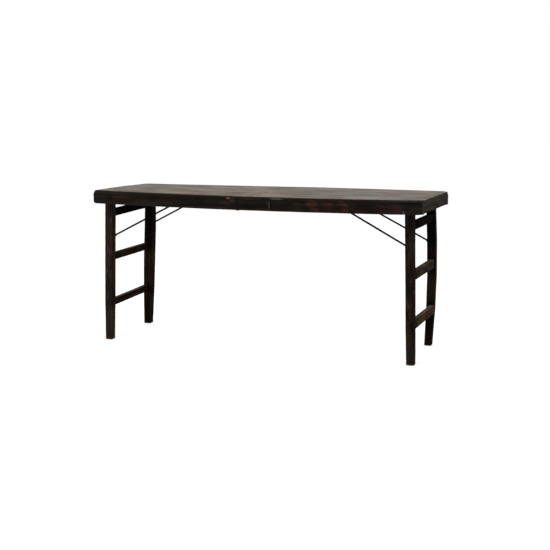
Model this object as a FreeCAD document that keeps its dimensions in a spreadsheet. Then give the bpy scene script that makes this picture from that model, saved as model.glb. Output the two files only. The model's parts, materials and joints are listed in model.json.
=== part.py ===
"""Folding console table of dark-stained wood, with iron braces.

A shallow open box of rails carries three boards. Two ladder-shaped leg frames turn on iron axles inside
the box and fold inwards until they lie in it. An iron brace on each post holds the frame open.

Millimetres. The origin is on the floor below the middle of the top: X along the table, Y from front to
back, Z up. A leg frame is drawn in its own coordinates, with the origin on its axle, Z along the leg and
X pointing inwards, and is then placed by its splay. The right frame is the left one turned half round.
"""
import FreeCAD, Part
import math
import os

import Sketcher
from FreeCAD import Placement, Rotation, Vector

os.makedirs("parts", exist_ok=True)
doc = FreeCAD.newDocument("FoldingConsoleTable")

X_AXIS = Vector(1, 0, 0)
Y_AXIS = Vector(0, 1, 0)
Z_AXIS = Vector(0, 0, 1)

# ---------------------------------------------------------------- driving dimensions

DIMENSIONS = {
    # the top: boards over a frame of rails, sagging at the front and crowned at the back
    "table_length": 1698,
    "table_width": 580,
    "table_height": 780.5,
    "top_depth": 67,
    "board_thickness": 17,
    "board_gap": 0.4,
    "front_board_width": 192,
    "back_board_width": 190,
    "front_sag": 8,
    "back_crown": 1.5,
    "corner_radius": 6,
    "edge_radius": 3,
    "long_rail_width": 45,
    "left_end_rail_width": 34,
    "right_end_rail_width": 48,
    "end_rail_rise": 3,
    "batten_width": 70,
    "batten_depth": 26,
    "rail_tenon_length": 25,
    "rail_tenon_width": 14,
    "rail_tenon_depth": 28,
    "rail_tenon_shoulder": 10,
    "batten_tenon_depth": 14,
    "batten_tenon_inset": 5,
    "rail_peg_side": 7,
    "rail_peg_length": 34,
    "rail_peg_recess": 1,
    # the axles and what runs on them
    "hinge_height": 733,
    "left_hinge_reach": 787,
    "right_hinge_reach": 776,
    "left_splay": 1.7,
    "right_splay": 1.55,
    "axle_radius": 6,
    "axle_clearance": 0.1,
    "axle_seat_clearance": 0.05,
    "axle_seat_depth": 25,
    "axle_end_clearance": 1,
    # posts: square timber, drawn through five sections from the axle to the floor
    "post_inner_face": 201,
    "post_depth": 40,
    "foot_depth": 37,
    "foot_wear": 2.5,
    "section_1_below_hinge": 193,
    "section_2_below_hinge": 373,
    "section_3_below_hinge": 548,
    # rungs: outer face nearly flush with the posts, inner face set back for the folded braces
    "rung_outer_face": 19,
    "rung_inner_face": 6.9,
    "rung_edge_radius": 3,
    "tenon_length": 30,
    "mortise_clearance": 0.5,
    "tenon_thickness": 12,
    "tenon_shoulder": 5,
    "peg_side": 6,
    "peg_recess": 0.5,
    "peg_hole_reach": 40,
    # braces
    "brace_radius": 4.5,
    "brace_offset": 12,
    "brace_plane": 195.6,
    "brace_eye_radius": 7.5,
    "brace_eye_thickness": 5,
    "brace_eye_wall": 2,
    "brace_bend_radius": 8,
    "brace_end_length": 14,
    "brace_hook_height": 746,
    "pin_radius": 3,
    "pin_clearance": 0.1,
    "pin_depth": 28,
    "pin_head_radius": 7,
    "pin_head_height": 2.5,
    "pin_grip": 10.4,
    # staples and nails
    "staple_wire": 5,
    "staple_half_width": 8.5,
    "staple_gap": 0.6,
    "staple_bite": 11,
    "nail_side": 3.5,
    "nail_length": 42,
    "nail_head_side": 7,
    "nail_head_height": 1.2,
    "nail_point_share": 0.33,
    "nail_proud": 0.2,
    "nail_spread": 55,
    "nail_spacing": 210,
}

# post: width along X and outward drift at the axle, at three sections below it, and at the floor
POST_WIDTHS = {
    "left_front": (41, 41, 41, 40.5, 36),
    "left_back": (48, 52, 52, 48, 38),
    "right_front": (42, 41, 41, 40.5, 38),
    "right_back": (43, 44, 43, 41, 36),
}
POST_DRIFTS = {
    "left_front": (0, 0, 0, -0.5, -1.5),
    "left_back": (0, -0.5, 2.5, 3.5, 5),
    "right_front": (0, -1, -1, -2, -2),
    "right_back": (0, 4, 3, -4.5, -17.5),
}
# rung: height of its underside above the floor at the front and back post, and its own height
RUNGS = {
    "left_top": (640.5, 653.5, 39),
    "left_middle": (413.5, 421, 37),
    "left_lower": (172.5, 187, 36.5),
    "right_top": (635, 635.5, 40),
    "right_middle": (400.5, 401, 44.5),
    "right_lower": (169.5, 169, 44),
}
# brace: height of its pin above the floor, and how far from the table's middle its end is held
BRACES = {
    "front_left": (543.5, 381),
    "back_left": (559, 415.5),
    "front_right": (551.5, 406),
    "back_right": (539, 356.5),
}

for post, widths in POST_WIDTHS.items():
    for station in range(5):
        DIMENSIONS[f"{post}_width_{station}"] = widths[station]
        DIMENSIONS[f"{post}_drift_{station}"] = POST_DRIFTS[post][station]
for rung, (front_height, back_height, rung_height) in RUNGS.items():
    DIMENSIONS[f"{rung}_front"] = front_height
    DIMENSIONS[f"{rung}_back"] = back_height
    DIMENSIONS[f"{rung}_height"] = rung_height
for brace, (pin_height, hook_reach) in BRACES.items():
    DIMENSIONS[f"{brace}_pin_height"] = pin_height
    DIMENSIONS[f"{brace}_hook_reach"] = hook_reach

sheet = doc.addObject("Spreadsheet::Sheet", "Dimensions")
for row, (alias, value) in enumerate(DIMENSIONS.items(), start=1):
    sheet.set(f"A{row}", alias)
    sheet.set(f"B{row}", str(value))
    sheet.setAlias(f"B{row}", alias)
doc.recompute()


def size(alias):
    """The number in the sheet's cell of that name."""
    return float(sheet.get(alias))


def cell(alias):
    """The expression that reads the sheet's cell of that name."""
    return f"Dimensions.{alias}"


half_length = size("table_length") / 2
half_width = size("table_width") / 2
top_height = size("table_height")
board_underside = top_height - size("board_thickness")
rail_underside = top_height - size("top_depth")
rail_inner_face = half_width - size("long_rail_width")

nodes = []


# ---------------------------------------------------------------- small tools

def node(part, name):
    """Give a sub-part the name its file will have."""
    part.Label = name
    nodes.append(part)
    return part


def solid(name, shape):
    """A sub-part whose shape is made directly."""
    feature = doc.addObject("Part::Feature", name)
    feature.Shape = shape
    return node(feature, name)


def new_body(name, placement=Placement()):
    """A PartDesign body, placed in the table."""
    body = doc.addObject("PartDesign::Body", name)
    body.Placement = placement
    return node(body, name)


def sketch_on(body, name, role, distance=None):
    """A sketch on one of the body's own origin planes, moved along its normal by an expression."""
    plane = next(p for p in body.Origin.OriginFeatures if p.Role == role)
    sketch = body.newObject("Sketcher::SketchObject", f"{body.Name}_{name}")
    sketch.AttachmentSupport = (plane, [""])
    sketch.MapMode = "FlatFace"
    if distance is not None:
        sketch.setExpression("AttachmentOffset.Base.z", distance)
    return sketch


def drive(sketch, constraint, expression):
    """Add a dimension to a sketch and bind it to the sheet."""
    index = sketch.addConstraint(constraint)
    sketch.setExpression(f"Constraints[{index}]", expression)


def draw_rectangle(sketch, left, right, low, high):
    """A rectangle whose four sides are expressions, in the sketch's own axes."""
    corners = [Vector(-1, -1, 0), Vector(1, -1, 0), Vector(1, 1, 0), Vector(-1, 1, 0)]
    for corner in range(4):
        sketch.addGeometry(Part.LineSegment(corners[corner], corners[(corner + 1) % 4]))
    for side in range(4):
        sketch.addConstraint(Sketcher.Constraint("Coincident", side, 2, (side + 1) % 4, 1))
    for side, direction in enumerate(("Horizontal", "Vertical", "Horizontal", "Vertical")):
        sketch.addConstraint(Sketcher.Constraint(direction, side))
    drive(sketch, Sketcher.Constraint("DistanceX", -1, 1, 0, 1, -1), left)
    drive(sketch, Sketcher.Constraint("DistanceX", -1, 1, 0, 2, 1), right)
    drive(sketch, Sketcher.Constraint("DistanceY", -1, 1, 0, 1, -1), low)
    drive(sketch, Sketcher.Constraint("DistanceY", -1, 1, 2, 1, 1), high)


def draw_square(sketch, across, up, side):
    """A square about a centre, given by expressions."""
    draw_rectangle(sketch, f"{across} - {side} / 2", f"{across} + {side} / 2",
                   f"{up} - {side} / 2", f"{up} + {side} / 2")


def draw_circle(sketch, across, up, radius):
    """A circle whose centre and radius are expressions."""
    circle = sketch.addGeometry(Part.Circle(Vector(0, 0, 0), Z_AXIS, 1))
    drive(sketch, Sketcher.Constraint("Radius", circle, 1), radius)
    drive(sketch, Sketcher.Constraint("DistanceX", -1, 1, circle, 3, 0), across)
    drive(sketch, Sketcher.Constraint("DistanceY", -1, 1, circle, 3, 0), up)


def pad(body, sketch, length, towards_normal=True):
    """Pad a sketch along its normal, or against it, by an expression."""
    feature = body.newObject("PartDesign::Pad", f"{sketch.Name}_pad")
    feature.Profile = sketch
    feature.Reversed = not towards_normal
    feature.setExpression("Length", length)
    doc.recompute()
    return feature


def pocket(body, sketch, length, towards_normal=False):
    """Cut a pocket and make sure that it took wood away."""
    before = body.Shape.Volume
    feature = body.newObject("PartDesign::Pocket", f"{sketch.Name}_pocket")
    feature.Profile = sketch
    feature.Reversed = towards_normal
    feature.setExpression("Length", length)
    doc.recompute()
    if body.Shape.Volume > before - 1:
        raise RuntimeError(f"{sketch.Name} cuts nothing")
    return feature


# ---------------------------------------------------------------- the top

def sag_at(y):
    """How far the middle of the top lies below its ends, from the front edge to the back."""
    share = (y + half_width) / size("table_width")
    return size("front_sag") - share * (size("front_sag") + size("back_crown"))


def drop_at(x, y):
    """How far the bowed top lies below its ends at a point."""
    return sag_at(y) * (1 - (x / half_length) ** 2)


def bowed_slab(front, back, low, high):
    """A full-length slab between two Y and two Z values, bowed as the whole top is."""
    ends = []
    for y in (front, back):
        sag = sag_at(y)
        corners = [Vector(side * half_length, y, z) for z in (low, high) for side in (-1, 1)]
        lower = Part.BezierCurve()
        lower.setPoles([corners[0], Vector(0, y, low - 2 * sag), corners[1]])
        upper = Part.BezierCurve()
        upper.setPoles([corners[3], Vector(0, y, high - 2 * sag), corners[2]])
        edges = [
            lower.toShape(),
            Part.makeLine(corners[1], corners[3]),
            upper.toShape(),
            Part.makeLine(corners[2], corners[0]),
        ]
        ends.append(Part.Wire(edges))
    return Part.makeLoft(ends, True, True)


def block(x_low, x_high, y_low, y_high, z_low, z_high):
    """A plain box between two corners."""
    return Part.makeBox(x_high - x_low, y_high - y_low, z_high - z_low, Vector(x_low, y_low, z_low))


def round_corners(shape, face_y, radius):
    """Round a slab's upright edges at the table's corners."""
    upright = [
        edge for edge in shape.Edges
        if len(edge.Vertexes) == 2
        and abs(edge.Vertexes[0].Y - face_y) < 1e-3 and abs(edge.Vertexes[1].Y - face_y) < 1e-3
        and abs(edge.Vertexes[0].X - edge.Vertexes[1].X) < 1e-3
        and abs(abs(edge.Vertexes[0].X) - half_length) < 1e-3
    ]
    return shape.makeFillet(radius, upright)


def outer_edges(shape, low, high):
    """The outer long edges and their corner arcs between two heights, bow included."""
    chosen = []
    for edge in shape.Edges:
        middle = edge.valueAt((edge.FirstParameter + edge.LastParameter) / 2)
        level = middle.z + drop_at(middle.x, middle.y)
        ends_level = all(
            low <= v.Z + drop_at(v.X, v.Y) <= high for v in edge.Vertexes
        )
        outside = abs(middle.y) > half_width - size("corner_radius") or abs(middle.x) > half_length - 1
        if low <= level <= high and ends_level and outside:
            chosen.append(edge)
    return chosen


def ease_top(board):
    """Round a board's upper edges where they are on the table's outside."""
    return board.makeFillet(size("edge_radius"), outer_edges(board, top_height - 0.01, top_height + 0.01))


# boards: the front and back ones have the table's rounded corners
front_seam = -half_width + size("front_board_width")
back_seam = half_width - size("back_board_width")
gap = size("board_gap")

front_board = bowed_slab(-half_width, front_seam - gap / 2, board_underside, top_height)
front_board = round_corners(front_board, -half_width, size("corner_radius"))
solid("front_board", ease_top(front_board))

middle_board = bowed_slab(front_seam + gap / 2, back_seam - gap / 2, board_underside, top_height)
solid("middle_board", ease_top(middle_board))

back_board = bowed_slab(back_seam + gap / 2, half_width, board_underside, top_height)
back_board = round_corners(back_board, half_width, size("corner_radius"))
solid("back_board", ease_top(back_board))

# tenons of the end rails and the batten, which the long rails' mortises repeat
tenon_top = board_underside - size("rail_tenon_shoulder")
tenon_low = tenon_top - size("rail_tenon_depth")
tenon_reach = rail_inner_face + size("rail_tenon_length")
end_rails = {
    "left_end_rail": (-half_length, -half_length + size("left_end_rail_width")),
    "right_end_rail": (half_length - size("right_end_rail_width"), half_length),
}
cross_tenons = {}
for name, (x_low, x_high) in end_rails.items():
    middle = (x_low + x_high) / 2
    half = size("rail_tenon_width") / 2
    cross_tenons[name] = block(middle - half, middle + half, -tenon_reach, tenon_reach, tenon_low, tenon_top)

batten_half = size("batten_width") / 2
batten_low = board_underside - size("batten_depth")
batten_tenon_half = size("batten_tenon_depth") / 2


def batten_tenon(side):
    """The batten's stub tenon at the front (-1) or the back (1), at the height the bow gives it."""
    drop = drop_at(0, side * rail_inner_face)
    middle = board_underside - size("batten_depth") / 2 - drop
    half = batten_half - size("batten_tenon_inset")
    y_low, y_high = sorted((side * (rail_inner_face - 1), side * tenon_reach))
    return block(-half, half, y_low, y_high, middle - batten_tenon_half, middle + batten_tenon_half)


cross_tenons["centre_batten"] = batten_tenon(-1).fuse(batten_tenon(1))

# long rails: mortised for the cross pieces, bored blind for the axles
axle_places = (-size("left_hinge_reach"), size("right_hinge_reach"))
peg_places = []
for x_low, x_high in end_rails.values():
    for side in (-1, 1):
        peg_places.append(((x_low + x_high) / 2, side * (rail_inner_face + size("rail_tenon_length") / 2)))


def rail_peg(x, y):
    """A squared upright peg driven in from the rail's underside."""
    half = size("rail_peg_side") / 2
    start = rail_underside - drop_at(x, y) + size("rail_peg_recess")
    return block(x - half, x + half, y - half, y + half, start, start + size("rail_peg_length"))


def rail_peg_hole(x, y):
    """The peg's hole, open at the rail's underside."""
    peg = rail_peg(x, y).BoundBox
    return block(peg.XMin, peg.XMax, peg.YMin, peg.YMax, 0, peg.ZMax)


for name, side in (("front_rail", -1), ("back_rail", 1)):
    y_low, y_high = sorted((side * half_width, side * rail_inner_face))
    rail = bowed_slab(y_low, y_high, rail_underside, board_underside)
    rail = round_corners(rail, side * half_width, size("corner_radius"))
    lower_edges = outer_edges(rail, rail_underside - 0.01, rail_underside + 0.01)
    rail = rail.makeFillet(size("edge_radius"), lower_edges)
    for tenon in cross_tenons.values():
        rail = rail.cut(tenon)
    for x in axle_places:
        seat = Part.makeCylinder(
            size("axle_radius") + size("axle_seat_clearance"), size("axle_seat_depth"),
            Vector(x, side * rail_inner_face, size("hinge_height")), Vector(0, side, 0))
        rail = rail.cut(seat)
    for x, y in peg_places:
        if y * side > 0:
            rail = rail.cut(rail_peg_hole(x, y))
    solid(name, rail)

# end rails and batten: cut from the same bowed slab as the long rails, with their tenons
end_rail_underside = rail_underside + size("end_rail_rise")
rail_slab = bowed_slab(-rail_inner_face, rail_inner_face, end_rail_underside, board_underside)
for name, (x_low, x_high) in end_rails.items():
    rail = rail_slab.common(block(x_low, x_high, -half_width, half_width, 0, top_height))
    rail = rail.fuse(cross_tenons[name]).removeSplitter()
    for x, y in peg_places:
        if x_low < x < x_high:
            rail = rail.cut(rail_peg_hole(x, y))
    solid(name, rail)

batten_slab = bowed_slab(-rail_inner_face, rail_inner_face, batten_low, board_underside)
batten = batten_slab.common(block(-batten_half, batten_half, -half_width, half_width, 0, top_height))
solid("centre_batten", batten.fuse(cross_tenons["centre_batten"]).removeSplitter())

solid("rail_pegs", Part.makeCompound([rail_peg(x, y) for x, y in peg_places]))

# nails: two in each board over each end rail and the batten, and a row along each long rail
board_middles = (
    (-half_width + front_seam) / 2,
    (front_seam + back_seam) / 2,
    (back_seam + half_width) / 2,
)
nail_places = []
for y in board_middles:
    for x_low, x_high in (*end_rails.values(), (-batten_half, batten_half)):
        for side in (-1, 1):
            nail_places.append(((x_low + x_high) / 2, y + side * size("nail_spread")))
for side in (-1, 1):
    for step in (-3, -2, -1, 1, 2, 3):
        rail_middle = side * (half_width - size("long_rail_width") / 2)
        nail_places.append((step * size("nail_spacing"), rail_middle))


def square(x, y, z, half):
    """A square wire about a point, in a level plane."""
    corners = [Vector(x - half, y - half, z), Vector(x + half, y - half, z),
               Vector(x + half, y + half, z), Vector(x - half, y + half, z)]
    return Part.makePolygon(corners + corners[:1])


def nail(x, y):
    """A square forged nail, tapering to its point, with a flat head driven just short of flush."""
    top = top_height - drop_at(x, y) + size("nail_proud")
    neck = top - size("nail_head_height")
    half = size("nail_side") / 2
    head_half = size("nail_head_side") / 2
    point = square(x, y, neck - size("nail_length"), half * size("nail_point_share"))
    shank = Part.makeLoft([point, square(x, y, neck, half)], True)
    head = block(x - head_half, x + head_half, y - head_half, y + head_half, neck, top)
    return head.fuse(shank)


solid("board_nails", Part.makeCompound([nail(x, y) for x, y in nail_places]))

# ---------------------------------------------------------------- the axles

for name, x in zip(("left_axle", "right_axle"), axle_places):
    axle = new_body(name, Placement(Vector(x, 0, size("hinge_height")), Rotation()))
    section = sketch_on(axle, "section", "XZ_Plane")
    draw_circle(section, "0", "0", cell("axle_radius"))
    reach = f"{cell('table_width')} / 2 - {cell('long_rail_width')} + {cell('axle_seat_depth')}"
    bar = pad(axle, section, f"2 * ({reach} - {cell('axle_end_clearance')})")
    bar.Midplane = True
    doc.recompute()
    ends = axle.newObject("PartDesign::Chamfer", f"{name}_ends")
    rims = [f"Edge{n}" for n, e in enumerate(bar.Shape.Edges, start=1) if len(e.Vertexes) == 1]
    ends.Base = (bar, rims)
    ends.Size = 1

# ---------------------------------------------------------------- the leg frames

LEVELS = (
    "0",
    cell("section_1_below_hinge"),
    cell("section_2_below_hinge"),
    cell("section_3_below_hinge"),
)


def frame_placement(frame):
    """Where a leg frame's own coordinates lie in the table."""
    splay = Rotation(Y_AXIS, size(f"{frame}_splay"))
    if frame == "left":
        return Placement(Vector(-size("left_hinge_reach"), 0, size("hinge_height")), splay)
    half_turn = Rotation(Z_AXIS, 180)
    return Placement(Vector(size("right_hinge_reach"), 0, size("hinge_height")), half_turn * splay)


def side_of(frame, place):
    """Which way a front or back post lies along the frame's own Y."""
    side = -1 if place == "front" else 1
    return side if frame == "left" else -side


def below_hinge(frame, height):
    """A height above the floor, as the expression of a frame's own Z."""
    return f"({height} - {cell('hinge_height')}) / cos({cell(frame + '_splay')} * 1deg)"


def post_at(post, measure, height):
    """A post's width or outward drift at a height above the floor."""
    depths = [0] + [size(f"section_{n}_below_hinge") for n in (1, 2, 3)] + [size("hinge_height")]
    depth = size("hinge_height") - height
    for station in range(4):
        if depth <= depths[station + 1]:
            share = (depth - depths[station]) / (depths[station + 1] - depths[station])
            start = size(f"{post}_{measure}_{station}")
            return start + share * (size(f"{post}_{measure}_{station + 1}") - start)
    return size(f"{post}_{measure}_4")


def make_post(frame, place):
    """A square post, lofted through five sections, with a round head, mortises and bores."""
    post = f"{frame}_{place}"
    side = side_of(frame, place)
    outwards = side > 0
    inner_plane = f"{-side} * {cell('post_inner_face')}"
    body = new_body(f"{post}_post", frame_placement(frame))

    sections = []
    for station in range(6):
        drawn = min(station, 4)
        middle = f"({side} * ({cell('post_inner_face')} + {cell('post_depth')} / 2))"
        width = f"{cell(f'{post}_width_{drawn}')}"
        depth = cell("post_depth") if station < 4 else cell("foot_depth")
        if station < 4:
            section = sketch_on(body, f"section_{station}", "XY_Plane", f"-{LEVELS[station]}")
        else:
            height = cell("foot_wear") if station == 4 else "0"
            level = below_hinge(frame, height)
            section = sketch_on(body, "ankle" if station == 4 else "sole", "XY_Plane", level)
            section.AttachmentOffset = Placement(Vector(), Rotation(Y_AXIS, -size(f"{frame}_splay")))
            section.setExpression("AttachmentOffset.Base.z", level)
        if station == 5:
            width = f"({width} - 2 * {cell('foot_wear')})"
            depth = f"({depth} - 2 * {cell('foot_wear')})"
        drift = cell(f"{post}_drift_{drawn}")
        draw_rectangle(section, f"-{drift} - {width} / 2", f"-{drift} + {width} / 2",
                       f"{middle} - {depth} / 2", f"{middle} + {depth} / 2")
        sections.append(section)
    doc.recompute()
    shaft = body.newObject("PartDesign::AdditiveLoft", f"{post}_shaft")
    shaft.Profile = sections[0]
    shaft.Sections = sections[1:]
    shaft.Ruled = True
    doc.recompute()

    head = sketch_on(body, "head", "XZ_Plane", inner_plane)
    draw_circle(head, "0", "0", f"{cell(post + '_width_0')} / 2")
    pad(body, head, cell("post_depth"), towards_normal=not outwards)

    bore = sketch_on(body, "axle_bore", "XZ_Plane", inner_plane)
    draw_circle(bore, "0", "0", f"{cell('axle_radius')} + {cell('axle_clearance')}")
    pocket(body, bore, cell("post_depth"), towards_normal=not outwards)

    for level in ("top", "middle", "lower"):
        rung = f"{frame}_{level}"
        low = below_hinge(frame, cell(f"{rung}_{place}"))
        middle = f"(({cell('rung_inner_face')} - {cell('rung_outer_face')}) / 2)"
        mortise = sketch_on(body, f"{level}_mortise", "XZ_Plane", inner_plane)
        draw_rectangle(mortise, f"{middle} - {cell('tenon_thickness')} / 2",
                       f"{middle} + {cell('tenon_thickness')} / 2",
                       f"{low} + {cell('tenon_shoulder')}",
                       f"{low} + {cell(rung + '_height')} - {cell('tenon_shoulder')}")
        depth = f"{cell('tenon_length')} + {cell('mortise_clearance')}"
        pocket(body, mortise, depth, towards_normal=not outwards)

        peg_hole = sketch_on(body, f"{level}_peg_hole", "YZ_Plane", f"-{cell('peg_hole_reach')}")
        draw_square(peg_hole, f"{side} * ({cell('post_inner_face')} + {cell('tenon_length')} / 2)",
                    f"{low} + {cell(rung + '_height')} / 2", cell("peg_side"))
        pocket(body, peg_hole, f"2 * {cell('peg_hole_reach')}", towards_normal=True)

    brace = f"{place}_{frame}"
    pin_hole = sketch_on(body, "pin_hole", "XZ_Plane", inner_plane)
    draw_circle(pin_hole, cell("brace_offset"), below_hinge(frame, cell(f"{brace}_pin_height")),
                cell("pin_radius"))
    pocket(body, pin_hole, cell("pin_depth"), towards_normal=not outwards)


def make_rung(frame, level):
    """A rung, rising a little from one post to the other, with a tenon at each end."""
    rung = f"{frame}_{level}"
    body = new_body(f"{rung}_rung", frame_placement(frame))
    outer, inner = f"-{cell('rung_outer_face')}", cell("rung_inner_face")
    middle = f"(({cell('rung_inner_face')} - {cell('rung_outer_face')}) / 2)"
    lows = {side_of(frame, place): below_hinge(frame, cell(f"{rung}_{place}")) for place in ("front", "back")}
    shoulder = sketch_on(body, "shoulder", "XZ_Plane", f"-{cell('post_inner_face')}")
    draw_rectangle(shoulder, outer, inner, lows[1], f"{lows[1]} + {cell(rung + '_height')}")
    bar = pad(body, shoulder, f"2 * {cell('post_inner_face')}")
    bar.UseCustomVector = True
    bar.AlongSketchNormal = True
    bar.Direction = Vector(0, -1, 0)
    bar.setExpression("Direction.z", f"({lows[-1]} - ({lows[1]})) / (2 * {cell('post_inner_face')})")
    doc.recompute()

    long_edges = [f"Edge{n}" for n, edge in enumerate(bar.Shape.Edges, start=1) if edge.Length > 300]
    softened = body.newObject("PartDesign::Fillet", f"{rung}_softened")
    softened.Base = (bar, long_edges)
    softened.setExpression("Radius", cell("rung_edge_radius"))
    doc.recompute()

    for place in ("front", "back"):
        side = side_of(frame, place)
        low = below_hinge(frame, cell(f"{rung}_{place}"))
        root = sketch_on(body, f"{place}_tenon", "XZ_Plane", f"{-side} * ({cell('post_inner_face')} - 1)")
        draw_rectangle(root, f"{middle} - {cell('tenon_thickness')} / 2",
                       f"{middle} + {cell('tenon_thickness')} / 2",
                       f"{low} + {cell('tenon_shoulder')}",
                       f"{low} + {cell(rung + '_height')} - {cell('tenon_shoulder')}")
        pad(body, root, f"{cell('tenon_length')} + 1", towards_normal=side < 0)

        peg_hole = sketch_on(body, f"{place}_peg_hole", "YZ_Plane", f"-{cell('peg_hole_reach')}")
        draw_square(peg_hole, f"{side} * ({cell('post_inner_face')} + {cell('tenon_length')} / 2)",
                    f"{low} + {cell(rung + '_height')} / 2", cell("peg_side"))
        pocket(body, peg_hole, f"2 * {cell('peg_hole_reach')}", towards_normal=True)


def make_pegs(frame):
    """The six squared bamboo pegs that lock a frame's tenons, as one node."""
    cosine = math.cos(math.radians(size(f"{frame}_splay")))
    pegs = []
    for level in ("top", "middle", "lower"):
        for place in ("front", "back"):
            height = size(f"{frame}_{level}_{place}")
            z = (height - size("hinge_height")) / cosine + size(f"{frame}_{level}_height") / 2
            y = side_of(frame, place) * (size("post_inner_face") + size("tenon_length") / 2)
            length = post_at(f"{frame}_{place}", "width", height) - 2 * size("peg_recess")
            x = -post_at(f"{frame}_{place}", "drift", height)
            half = size("peg_side") / 2
            pegs.append(block(x - length / 2, x + length / 2, y - half, y + half, z - half, z + half))
    group = solid(f"{frame}_pegs", Part.makeCompound(pegs))
    group.Placement = frame_placement(frame)


def pin_position(brace):
    """A brace pin's place in its frame's own coordinates, at the post's inner face."""
    place, frame = brace.split("_")
    cosine = math.cos(math.radians(size(f"{frame}_splay")))
    z = (size(f"{brace}_pin_height") - size("hinge_height")) / cosine
    return Vector(size("brace_offset"), side_of(frame, place) * size("post_inner_face"), z)


def make_pin(brace):
    """An iron pin driven into the post, with a bevelled head that keeps the brace's eye on it."""
    place, frame = brace.split("_")
    own = Placement(pin_position(brace), Rotation(X_AXIS, 90 * side_of(frame, place)))
    body = new_body(f"{brace}_brace_pin", frame_placement(frame).multiply(own))
    shank = sketch_on(body, "shank", "XY_Plane", f"-{cell('pin_depth')}")
    draw_circle(shank, "0", "0", cell("pin_radius"))
    pad(body, shank, f"{cell('pin_depth')} + {cell('pin_grip')}")
    head = sketch_on(body, "head", "XY_Plane", cell("pin_grip"))
    draw_circle(head, "0", "0", cell("pin_head_radius"))
    riveted = pad(body, head, cell("pin_head_height"))
    crown = [
        f"Edge{n}" for n, edge in enumerate(riveted.Shape.Edges, start=1)
        if edge.BoundBox.ZMin > size("pin_grip") + size("pin_head_height") - 0.01
    ]
    dome = body.newObject("PartDesign::Chamfer", f"{brace}_dome")
    dome.Base = (riveted, crown)
    dome.setExpression("Size", f"{cell('pin_head_height')} * 0.7")
    doc.recompute()


def make_brace(brace):
    """An iron rod: forged eye on the pin, straight shank, and an end bent towards the middle."""
    place, frame = brace.split("_")
    pin = frame_placement(frame).multVec(pin_position(brace))
    side = -1 if place == "front" else 1
    pin.y = side * size("brace_plane")
    inward = 1 if frame == "left" else -1
    hook_x = -inward * size(f"{brace}_hook_reach")
    run = abs(hook_x - pin.x)
    rise = size("brace_hook_height") - pin.z
    lean = Rotation(Y_AXIS, -math.degrees(math.atan2(rise, run)))
    facing = Rotation(Z_AXIS, 0 if frame == "left" else 180)
    length = math.hypot(run, rise)
    bend_side = -side * inward

    body = new_body(f"{brace}_brace", Placement(pin, facing * lean))
    eye_outline = sketch_on(body, "eye", "XZ_Plane")
    draw_circle(eye_outline, "0", "0", cell("brace_eye_radius"))
    draw_circle(eye_outline, "0", "0", f"{cell('pin_radius')} + {cell('pin_clearance')}")
    eye = pad(body, eye_outline, cell("brace_eye_thickness"))
    eye.Midplane = True
    doc.recompute()

    radius = size("brace_bend_radius")
    start = size("pin_radius") + size("brace_eye_wall")
    corner = Vector(length - radius, 0, 0)
    turn_end = Vector(length, bend_side * radius, 0)
    tip = Vector(length, bend_side * size("brace_end_length"), 0)
    arc_middle = Vector(length - radius * (1 - math.sin(math.pi / 4)),
                        bend_side * radius * (1 - math.cos(math.pi / 4)), 0)
    path = sketch_on(body, "path", "XY_Plane")
    path.addGeometry(Part.LineSegment(Vector(start, 0, 0), corner))
    path.addGeometry(Part.Arc(corner, arc_middle, turn_end))
    path.addGeometry(Part.LineSegment(turn_end, tip))
    shank_start = f"{cell('pin_radius')} + {cell('brace_eye_wall')}"
    wire_section = sketch_on(body, "wire_section", "YZ_Plane", shank_start)
    draw_circle(wire_section, "0", "0", cell("brace_radius"))
    doc.recompute()
    shank = body.newObject("PartDesign::AdditivePipe", f"{brace}_shank")
    shank.Profile = wire_section
    shank.Spine = (path, ["Edge1", "Edge2", "Edge3"])
    doc.recompute()


def make_staple(brace):
    """An iron staple under the boards, its loop beside the brace's bent end."""
    place, frame = brace.split("_")
    side = -1 if place == "front" else 1
    x = size(f"{brace}_hook_reach") * (-1 if frame == "left" else 1)
    end_face = size("brace_plane") - size("brace_end_length")
    y = side * (end_face - size("staple_gap") - size("staple_wire") / 2)
    half = size("staple_half_width")
    bottom = size("brace_hook_height") - size("brace_radius") - size("staple_gap") - size("staple_wire") / 2
    leg = board_underside - drop_at(x, y) + size("staple_bite") - bottom - half
    body = new_body(f"{brace}_staple", Placement(Vector(x, y, bottom + half), Rotation()))
    path = sketch_on(body, "path", "XZ_Plane")
    path.addGeometry(Part.LineSegment(Vector(-half, leg, 0), Vector(-half, 0, 0)))
    path.addGeometry(Part.Arc(Vector(-half, 0, 0), Vector(0, -half, 0), Vector(half, 0, 0)))
    path.addGeometry(Part.LineSegment(Vector(half, 0, 0), Vector(half, leg, 0)))
    wire_section = sketch_on(body, "wire_section", "XY_Plane", str(leg))
    draw_square(wire_section, f"-{cell('staple_half_width')}", "0", cell("staple_wire"))
    doc.recompute()
    wire = body.newObject("PartDesign::AdditivePipe", f"{brace}_wire")
    wire.Profile = wire_section
    wire.Spine = (path, ["Edge1", "Edge2", "Edge3"])
    doc.recompute()


for frame in ("left", "right"):
    for place in ("front", "back"):
        make_post(frame, place)
    for level in ("top", "middle", "lower"):
        make_rung(frame, level)
    make_pegs(frame)

for brace in BRACES:
    make_pin(brace)
    make_brace(brace)
    make_staple(brace)

# ---------------------------------------------------------------- check and write

doc.recompute()
for thing in doc.Objects:
    if "Invalid" in thing.State or "Error" in thing.State:
        raise RuntimeError(f"{thing.Name} did not build: {thing.State}")
for part in nodes:
    if part.Shape.isNull() or not part.Shape.isValid() or not part.Shape.Solids:
        raise RuntimeError(f"{part.Label} has no valid solid")
    if part.TypeId == "PartDesign::Body" and len(part.Shape.Solids) != 1:
        raise RuntimeError(f"{part.Label} is in {len(part.Shape.Solids)} pieces")
for part in nodes:
    part.Shape.exportStep(f"parts/{part.Label}.step")
print(f"{len(nodes)} sub-parts written")
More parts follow.
